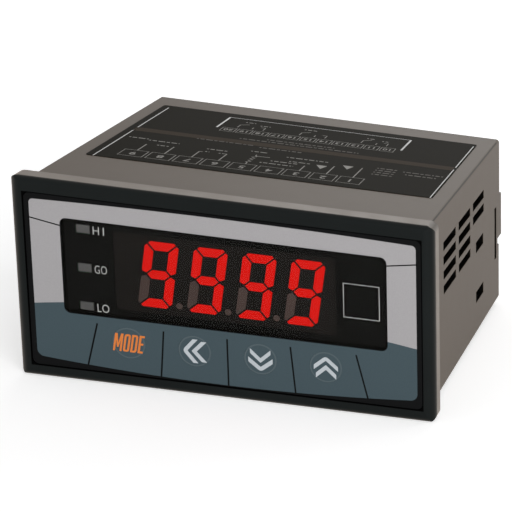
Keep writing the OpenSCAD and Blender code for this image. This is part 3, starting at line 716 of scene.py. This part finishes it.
def grown(name, tree, seed_mesh, sizes, finish):
    """The plain mesh that a tree makes of a mesh. Sizes are given by input name."""
    holder = link(name + "_seed", seed_mesh)
    modifier = holder.modifiers.new("grow", "NODES")
    modifier.node_group = tree
    values = {**sizes, "Ink": finish}
    for item in tree.interface.items_tree:
        if item.in_out == "INPUT" and item.name in values:
            modifier[item.identifier] = values[item.name]
    holder.update_tag()
    mesh = evaluated_mesh(holder)
    holder.modifiers.remove(modifier)
    bpy.data.objects.remove(holder)
    return mesh


def path_mesh(name, paths):
    """A mesh of bare edges along paths, each a list of (u, v) in millimetres."""
    points, edges = [], []
    for path in paths:
        first = len(points)
        points += [(u * MM, v * MM, 0) for u, v in path]
        edges += [(first + i, first + i + 1) for i in range(len(path) - 1)]
    mesh = bpy.data.meshes.new(name)
    mesh.from_pydata(points, edges, [])
    return mesh


def ink_strips(name, paths, width, plane, body, finish):
    """Strips of ink along paths."""
    sizes = {"Width": width * MM, "Thickness": INK_T * MM}
    mesh = grown(name, TREES["strips"], path_mesh(name, paths), sizes, finish)
    mesh.transform(Matrix.Translation((0, 0, INK_T * MM / 2)))
    return settle(link(name, mesh), plane, body, finish)


def box_row(name, count, pitch, size, stroke, centre, plane, body, finish):
    """A row of ink frames centred on centre."""
    sizes = {
        "Count": count, "Pitch": pitch * MM, "Box Width": size[0] * MM, "Box Height": size[1] * MM,
        "Stroke": stroke * MM, "Thickness": INK_T * MM,
    }
    mesh = grown(name, TREES["boxes"], bpy.data.meshes.new(name), sizes, finish)
    mesh.transform(Matrix.Translation((centre[0] * MM, centre[1] * MM, INK_T * MM / 2)))
    return settle(link(name, mesh), plane, body, finish)


CAP_SHARE = 0.69  # height of a capital as a share of the built-in font's size


def lettering(name, words, plane, body, finish, bold):
    """Words as flat meshes in one piece, each stroke widened by bold.

    Each word is (text, centre u, centre v, height of a capital, width factor)."""
    work = bmesh.new()
    for text, u, v, height, widen in words:
        drawn = bpy.data.curves.new(name, "FONT")
        drawn.body = text
        drawn.align_x = "CENTER"
        drawn.extrude = INK_T * MM / 2
        drawn.size = height * MM / CAP_SHARE
        drawn.offset = bold * MM
        drawn.resolution_u = 4
        shape = link(name + "_word", drawn)
        bpy.context.view_layer.update()
        mesh = bpy.data.meshes.new_from_object(shape)
        bpy.data.objects.remove(shape)
        mesh.transform(Matrix.Diagonal((widen, 1, 1, 1)))
        mesh.transform(Matrix.Translation((u * MM, (v - height / 2) * MM, INK_T * MM / 2)))
        work.from_mesh(mesh)
    joined = bpy.data.meshes.new(name)
    work.to_mesh(joined)
    work.free()
    return settle(link(name, joined), plane, body, finish)

# ---------- Print on the film ----------

ink_plane = front_plane(film_front - INK_T)

# Thin black lines that part the keys, fanning out downwards
SEPARATOR_T, SEPARATOR_TOP = 0.38, -9.35
SEPARATORS = ((-29.7, -32.25), (-14.55, -15.5), (0, 0), (14.55, 15.5), (29.7, 32.25))
separators = [
    [(high_x, SEPARATOR_TOP), (low_x, bottom_bow(low_x))] for high_x, low_x in SEPARATORS
]
ink_strips("key_separators", separators, SEPARATOR_T, ink_plane, METER, ink_black)

# Thin black lines from the window to the edge of the silver field
BROW_T, BROW_INNER_Z, BROW_OUTER_Z = 0.3, 13.3, 14.45
brow_lines = [
    [(side * (window_half_w + WINDOW_EDGE), BROW_INNER_Z), (side * FIELD_HALF_W, BROW_OUTER_Z)]
    for side in (-1, 1)
]
ink_strips("brow_lines", brow_lines, BROW_T, ink_plane, METER, ink_black)


def chevrons(centre, turn, shapes):
    """Outlines of nested chevrons that point along turn degrees, their ends cut along that way.

    Each shape is (tip, half width, rise, width along the way, rounding of the tip)."""
    angle = math.radians(turn)
    cos, sin = math.cos(angle), math.sin(angle)
    loops = []
    for tip, half, rise, width, round_tip in shapes:
        outline = [
            (tip, 0), (tip - rise, half), (tip - rise - width, half), (tip - width, 0),
            (tip - rise - width, -half), (tip - rise, -half),
        ]
        outline = soften(outline, (round_tip, 0.15, 0.1, 0.2, 0.1, 0.15))
        loops.append([
            (centre[0] + along * cos - across * sin, centre[1] + along * sin + across * cos)
            for along, across in outline
        ])
    return loops


ARROWS = {
    "shift": (180, ((2.85, 2.9, 2.45, 1.15, 0.9), (0.75, 2.5, 2.3, 1.2, 0.2))),
    "down": (-90, ((3.1, 2.8, 2.25, 1.2, 0.9), (0.9, 2.35, 2.2, 1.15, 0.2))),
    "up": (90, ((2.75, 2.8, 2.4, 1.15, 0.9), (0.55, 2.35, 2.15, 1.2, 0.2))),
}
KEY_INK_T = 0.035  # the print on the keys stands over their rings
for key, (turn, shapes) in ARROWS.items():
    flat_field(
        "arrows_" + key, chevrons(key_centre[key], turn, shapes), film_plane,
        f"key_{key}_body", ink_grey, KEY_INK_T,
    )


def mode_word(centre):
    """Outlines of the word on the first key, in narrow bold leaning capitals."""
    h, lean = 4.35, 0.17
    letter_m = [
        (0, 0), (0, h), (0.58, h), (0.98, 2.0), (1.38, h), (1.96, h), (1.96, 0), (1.5, 0),
        (1.5, 2.7), (1.15, 0.95), (0.81, 0.95), (0.46, 2.7), (0.46, 0),
    ]
    letter_e = [
        (0, 0), (0, h), (1.2, h), (1.2, h - 0.5), (0.5, h - 0.5), (0.5, 2.45), (1.08, 2.45),
        (1.08, 1.97), (0.5, 1.97), (0.5, 0.5), (1.2, 0.5), (1.2, 0),
    ]
    bowl = [(0, 0), (0, h), (1.42, h), (1.42, 0)]
    bowl_hole = [(0.48, 0.46), (0.48, h - 0.46), (0.94, h - 0.46), (0.94, 0.46)]
    o_x, d_x, e_x, e_w = 2.24, 3.92, 5.62, 1.2
    letters = [
        (0.0, letter_m),
        (o_x, soften(bowl, [0.6] * 4)), (o_x, soften(bowl_hole, [0.22] * 4)),
        (d_x, soften(bowl, (0, 0, 0.6, 0.6))), (d_x, soften(bowl_hole, (0, 0, 0.22, 0.22))),
        (e_x, letter_e),
    ]
    foot_x, foot_z = centre[0] - (e_x + e_w) / 2, centre[1] - h / 2
    return [
        [(foot_x + x + u + (v - h / 2) * lean, foot_z + v) for u, v in outline]
        for x, outline in letters
    ]


# The word passes the rim of its key: what is on the key moves with it, the rest stays on the film
WORD_GAP = 0.02
word_mesh = flat_mesh("mode_word", mode_word(key_centre["mode"]), KEY_INK_T)
for name, keep, r, body, slot in (
    ("mode_word", "INTERSECT", KEY_HOLE_R - WORD_GAP, "key_mode_body", "key_cap"),
    ("mode_word_rim", "DIFFERENCE", KEY_HOLE_R, METER, "face_film"),
):
    part = cut_round(name, word_mesh.copy(), key_centre["mode"], r, keep)
    settle(link(name, part), film_plane, body, ink_orange)

# Low ring near the rim of every key, a little lighter than the blue field: a painted highlight of
# its pressed edge
RING_SIZES = {"Radius": 3.55 * MM, "Width": 0.34 * MM, "Height": 0.02 * MM}
for key in KEYS:
    ring_seed = path_mesh("ring_" + key, [[key_centre[key]]])
    ring = link("ring_" + key, grown("ring_" + key, TREES["rings"], ring_seed, RING_SIZES, key_rim_highlight))
    settle(ring, film_plane, f"key_{key}_body", key_rim_highlight)

# ---------- Print on the window ----------

lens_plane = front_plane(lens_front)

# Words beside the lamps, letter by letter: letter, its x and its width factor
LAMP_WORD_H, LAMP_WORD_RISE = 1.98, 0.35
LAMP_WORDS = {
    "lamp_high": (("H", -28.95, 0.86), ("I", -27.25, 1.0)),
    "lamp_go": (("G", -29.08, 0.66), ("O", -27.57, 0.64)),
    "lamp_low": (("L", -29.1, 0.78), ("O", -27.6, 0.77)),
}
lamp_words = []
for node, letters in LAMP_WORDS.items():
    lamp_low, lamp_high = box_mm(node)
    word_z = (lamp_low.z + lamp_high.z) / 2 + LAMP_WORD_RISE
    lamp_words += [(letter, x, word_z, LAMP_WORD_H, widen) for letter, x, widen in letters]
lettering("lamp_words", lamp_words, lens_plane, METER, ink_white, -0.03)

# Empty square for the sign of the unit that is measured
UNIT_SIDE, UNIT_STROKE, UNIT_CENTRE = 8.2, 0.22, (31.15, 3.75)
box_row(
    "unit_square", 1, 0, (UNIT_SIDE, UNIT_SIDE), UNIT_STROKE, UNIT_CENTRE,
    lens_plane, METER, ink_white,
)

# Black backing behind the lens, open in front of the display and the lamps
MASK_T, MASK_GAP, MASK_REACH = 0.08, 0.1, 0.5
DISPLAY_SHIFT, DISPLAY_HALF_W, DISPLAY_HALF_H = -0.2, 25.3, 9.4
LAMP_EDGE = 0.2
mask_plane = front_plane(lens_high.y + MASK_GAP)
display_x = (module_low.x + module_high.x) / 2 + DISPLAY_SHIFT
mask_holes = [
    round_box(display_x, window_z, DISPLAY_HALF_W, DISPLAY_HALF_H, 0.3),
    *[
        round_box(
            (low.x + high.x) / 2, (low.z + high.z) / 2,
            (high.x - low.x) / 2 - LAMP_EDGE, (high.z - low.z) / 2 - LAMP_EDGE, 0.15,
        )
        for low, high in (box_mm(n) for n in LAMP_WORDS)
    ],
]
mask_outline = round_box(
    0, window_z, window_half_w + MASK_REACH, window_half_h + MASK_REACH, WINDOW_CORNER_R
)
flat_field(
    "lens_backing", [mask_outline, *mask_holes], mask_plane, METER, ink_black, MASK_T
)

# ---------- Print on the label ----------

label_plane = top_plane(label_top)
turned_plane = top_plane(label_top, turned=True)
FINE_T, LEAD_T, SIDE_T, LEG_T = 0.24, 0.28, 0.27, 0.5


def label_strips(name, paths, width, ink):
    """Lines of print on the label."""
    ink_strips(name, paths, width, label_plane, METER, ink)


def dashes(low_x, high_x, y):
    """A row of short dashes, as print too small to be read looks from a distance."""
    shortest, longer, gap = 0.45, 0.3, 0.4
    row, x = [], low_x
    while x < high_x:
        length = shortest + longer * (len(row) * 7 % 5)
        row.append([(x, y), (min(x + length, high_x), y)])
        x += length + gap
    return row


# Strip between the two panels of the label, and the lines along its sides
STRIP_X, STRIP_Y, STRIP_HALF_W, STRIP_HALF_H = 0.5, 57.7, 40.3, 1.9
strip = round_box(STRIP_X, STRIP_Y, STRIP_HALF_W, STRIP_HALF_H, 0.1)
flat_field("label_strip", [strip], label_plane, METER, label_strip)
SIDE_X, SIDE_SPANS = (-39.6, 41.0), ((25.8, 57.0), (59.2, 85.3))
side_lines = [[(x, low_y), (x, high_y)] for x in SIDE_X for low_y, high_y in SIDE_SPANS]
label_strips("label_side_lines", side_lines, SIDE_T, ink_white)

# Rows of numbered boxes, one box to a terminal
LOWER_X, LOWER_Y, LOWER_PITCH, LOWER_POLES = -6.05, 32.8, 6.55, 9
UPPER_X, UPPER_Y, UPPER_PITCH, UPPER_POLES = 1.0, 69.4, 4.1, 11
for name, poles, pitch, size, centre in (
    ("lower_number_boxes", LOWER_POLES, LOWER_PITCH, (5.7, 6.2), (LOWER_X, LOWER_Y)),
    ("upper_number_boxes", UPPER_POLES, UPPER_PITCH, (3.5, 4.2), (UPPER_X, UPPER_Y)),
):
    box_row(name, poles, pitch, size, FINE_T, centre, label_plane, METER, ink_pale)

# Plain numbers in the boxes. They read from the rear, so their places are turned too.
numbers = []
for first, poles, row_x, row_y, pitch, height in (
    (1, LOWER_POLES, LOWER_X, LOWER_Y - 0.3, LOWER_PITCH, 2.6),
    (LOWER_POLES + 1, UPPER_POLES, UPPER_X, UPPER_Y, UPPER_PITCH, 1.9),
):
    for i in range(poles):
        x = row_x + ((poles - 1) / 2 - i) * pitch
        numbers.append((str(first + i), -x, -row_y, height, 0.9))
lettering("label_numbers", numbers, turned_plane, METER, ink_pale, 0.03)

# Bracket over the upper boxes: heavy legs and a thin rear line
BRACKET_X, BRACKET_LOW, BRACKET_HIGH = (-22.8, 24.8), 70.6, 83.4
bracket_legs = [[(x, BRACKET_LOW), (x, BRACKET_HIGH)] for x in BRACKET_X]
label_strips("bracket_legs", bracket_legs, LEG_T, ink_white)
label_strips("bracket_line", [[(x, BRACKET_HIGH) for x in BRACKET_X]], FINE_T, ink_white)


def over_box(pole):
    """Middle of a lower terminal's box across the label."""
    return LOWER_X + ((LOWER_POLES + 1) / 2 - pole) * LOWER_PITCH


# Leads from the lower boxes to the connection signs, and the signs
BOX_TOP = 36.0
LEAD_TOPS = {9: 43.1, 8: 43.8, 7: 42.5, 6: 43.3, 3: 41.4, 2: 44.7, 1: 46.6}
leads = [[(over_box(pole), BOX_TOP), (over_box(pole), top_y)] for pole, top_y in LEAD_TOPS.items()]
leads += [
    [(over_box(7), 42.6), (over_box(7) + 0.8, 42.6)],
    [(over_box(6) - 0.9, 43.3), (over_box(6), 43.3)],
    [(-6.1, 45.0), (-2.5, 45.3)],
]
zigzag = [(over_box(5), BOX_TOP), (over_box(5), 37.4)]
zigzag += [(over_box(5) + (0.5 if i % 2 else -0.5), 38.2 + 0.9 * i) for i in range(8)]
zigzag += [(over_box(5), 45.4), (over_box(5), 46.4)]
label_strips("label_leads", [*leads, zigzag], LEAD_T, ink_pale)
for name, (x, y) in (("coil_sign_left", (11.1, 40.3)), ("coil_sign_right", (17.0, 43.2))):
    triangle = [(x, y), (x + 0.9, y + 3.6), (x - 1.8, y + 3.7)]
    flat_field(name, [triangle], label_plane, METER, ink_pale)

# Contact signs in the bracket
contacts = []
for x in (-15, 1, 17):
    contacts += [
        [(x - 3.2, 73.2), (x - 3.2, 76.2), (x - 1.2, 77.6)], [(x + 0.6, 73.2), (x + 0.6, 75.0)],
        [(x + 3.4, 73.2), (x + 3.4, 76.0), (x + 2.2, 76.0)],
    ]
label_strips("label_contacts", contacts, FINE_T, ink_pale)

# Small print as rows of dashes, brighter and dimmer: from x, to x, at y
bright_rows = (
    (-38.2, -33.4, 48.6), (-33.0, -25.5, 47.7), (-29.8, -27.0, 43.6), (-18.3, -13.3, 46.2),
    (-17.9, -16.9, 43.3), (-14.6, -13.5, 43.3), (-8.3, -4.3, 49.6), (-3.5, 4.7, 39.4),
    (-1.5, 5.0, 42.2), (1.0, 11.3, 47.9), (2.6, 7.7, 44.0), (-17.7, -15.1, 79.8),
    (-13.4, -10.8, 77.8), (-2.4, 0.8, 80.0), (14.2, 16.1, 79.0), (18.4, 20.0, 77.8),
)
dim_rows = (
    (-14.4, 15.8, 61.4), (-8.0, 9.2, 63.6), (-23.5, -9.0, 55.6), (-7.5, 3.0, 54.4),
    *((23.4, 28.4, y) for y in (48.4, 46.2, 44.0, 41.8)),
    (30.0, 40.0, 47.8), (31.0, 39.0, 45.2),
)
for name, rows, width, ink in (
    ("label_print", bright_rows, 0.5, ink_pale), ("label_fine_print", dim_rows, 0.7, ink_dim),
):
    label_strips(name, [dash for row in rows for dash in dashes(*row)], width, ink)

# ---------- Floor, light and camera ----------

VIEW_AZIMUTH, VIEW_ELEVATION, VIEW_ROLL = 15.43, 16.27, -1.79
VIEW_SPOT = (146.5, -510.0, 164.5)
VIEW_SKEW = (0.085, 0.32)  # how far the view's right leans towards its up and its back
LENS_MM = 165.7


def camera_axes(azimuth, elevation, roll):
    """Right, up and back of a camera that looks at the front from that side and height."""
    a, e, r = (math.radians(v) for v in (azimuth, elevation, roll))
    back = Vector((math.sin(a) * math.cos(e), -math.cos(a) * math.cos(e), math.sin(e)))
    level = Vector((math.cos(a), math.sin(a), 0))
    up = back.cross(level)
    return level * math.cos(r) + up * math.sin(r), up * math.cos(r) - level * math.sin(r), back


right, up, back = camera_axes(VIEW_AZIMUTH, VIEW_ELEVATION, VIEW_ROLL)
camera_data = bpy.data.cameras.new("camera")
camera_data.lens = LENS_MM
camera_data.clip_start, camera_data.clip_end = 0.01, 20
camera = bpy.data.objects.new("camera", camera_data)
# A camera only turns, so the lean is a stretch of its stand between two turns
skewed = (right + up * VIEW_SKEW[0] + back * VIEW_SKEW[1]).normalized()
turns, stretch, own_turn = np.linalg.svd(np.array((skewed, up, back)).T)
if np.linalg.det(turns) < 0:
    turns, own_turn = -turns, -own_turn
stand = bpy.data.objects.new("camera_stand", None)
stand.matrix_world = (
    Matrix.Translation(Vector(VIEW_SPOT) * MM) @ Matrix(turns.tolist()).to_4x4()
    @ Matrix.Diagonal((*stretch, 1))
)
camera.parent = stand
camera.matrix_basis = Matrix(own_turn.tolist()).to_4x4()
for placed in (stand, camera):
    bpy.context.scene.collection.objects.link(placed)
bpy.context.scene.camera = camera


def seen_or_mirrored(tree):
    """1 for camera, glossy and transmission rays, 0 for the rest."""
    path = tree.nodes.new("ShaderNodeLightPath")
    total = path.outputs["Is Camera Ray"]
    for ray in ("Is Glossy Ray", "Is Transmission Ray"):
        total = maths(tree, "MAXIMUM", total, path.outputs[ray])
    return total


def white_surround(ambient):
    """World: white where it is seen or mirrored, and an even soft light on everything else."""
    world = bpy.data.worlds.new("white_surround")
    world.use_nodes = True
    bpy.context.scene.world = world
    tree = world.node_tree
    mix = tree.nodes.new("ShaderNodeMix")
    mix.inputs["A"].default_value = ambient
    mix.inputs["B"].default_value = 1.0
    tree.links.new(seen_or_mirrored(tree), mix.inputs["Factor"])
    tree.links.new(mix.outputs["Result"], tree.nodes["Background"].inputs["Strength"])
    tree.nodes["Background"].inputs["Color"].default_value = (1, 1, 1, 1)


def white_floor(height, half, glow):
    """Pale floor that is near white where it is seen, and keeps a faint shadow."""
    made = base_material(
        "white_floor", (0.9, 0.9, 0.9), 0.9, Specular_IOR_Level=0.0, Emission_Color=(1, 1, 1, 1)
    )
    tree = made.node_tree
    seen_glow = maths(tree, "MULTIPLY", seen_or_mirrored(tree), glow)
    tree.links.new(seen_glow, shader_of(made).inputs["Emission Strength"])
    mesh = bpy.data.meshes.new("floor")
    corners = [(x * half, y * half, height) for x, y in ((-1, -1), (1, -1), (1, 1), (-1, 1))]
    mesh.from_pydata(corners, [], [(0, 1, 2, 3)])
    mesh.materials.append(made)
    link("floor", mesh)


def soft_box(name, place, aim, size, power):
    """Square white lamp that faces aim."""
    data = bpy.data.lights.new(name, "AREA")
    data.size = size
    data.energy = power
    lamp = bpy.data.objects.new(name, data)
    lamp.location = place
    lamp.rotation_euler = (Vector(aim) - Vector(place)).to_track_quat("-Z", "Y").to_euler()
    bpy.context.scene.collection.objects.link(lamp)


AMBIENT, FLOOR_GLOW, FLOOR_HALF = 0.4, 0.45, 3.0
# Name, place and size in metres, and power in watts
SOFT_BOXES = (
    ("front_right", (0.4, -0.7, 0.3), 0.5, 4.7),
    ("rear", (0.0, 0.8, 0.4), 0.5, 1.7),
    ("right_low", (0.45, 0.45, 0.08), 0.2, 0.75),
)
white_surround(AMBIENT)
white_floor(cad_low.z, FLOOR_HALF, FLOOR_GLOW)
for name, place, size, power in SOFT_BOXES:
    soft_box(name, place, (cad_low + cad_high) / 2, size, power)
bpy.context.scene.view_settings.view_transform = "Standard"
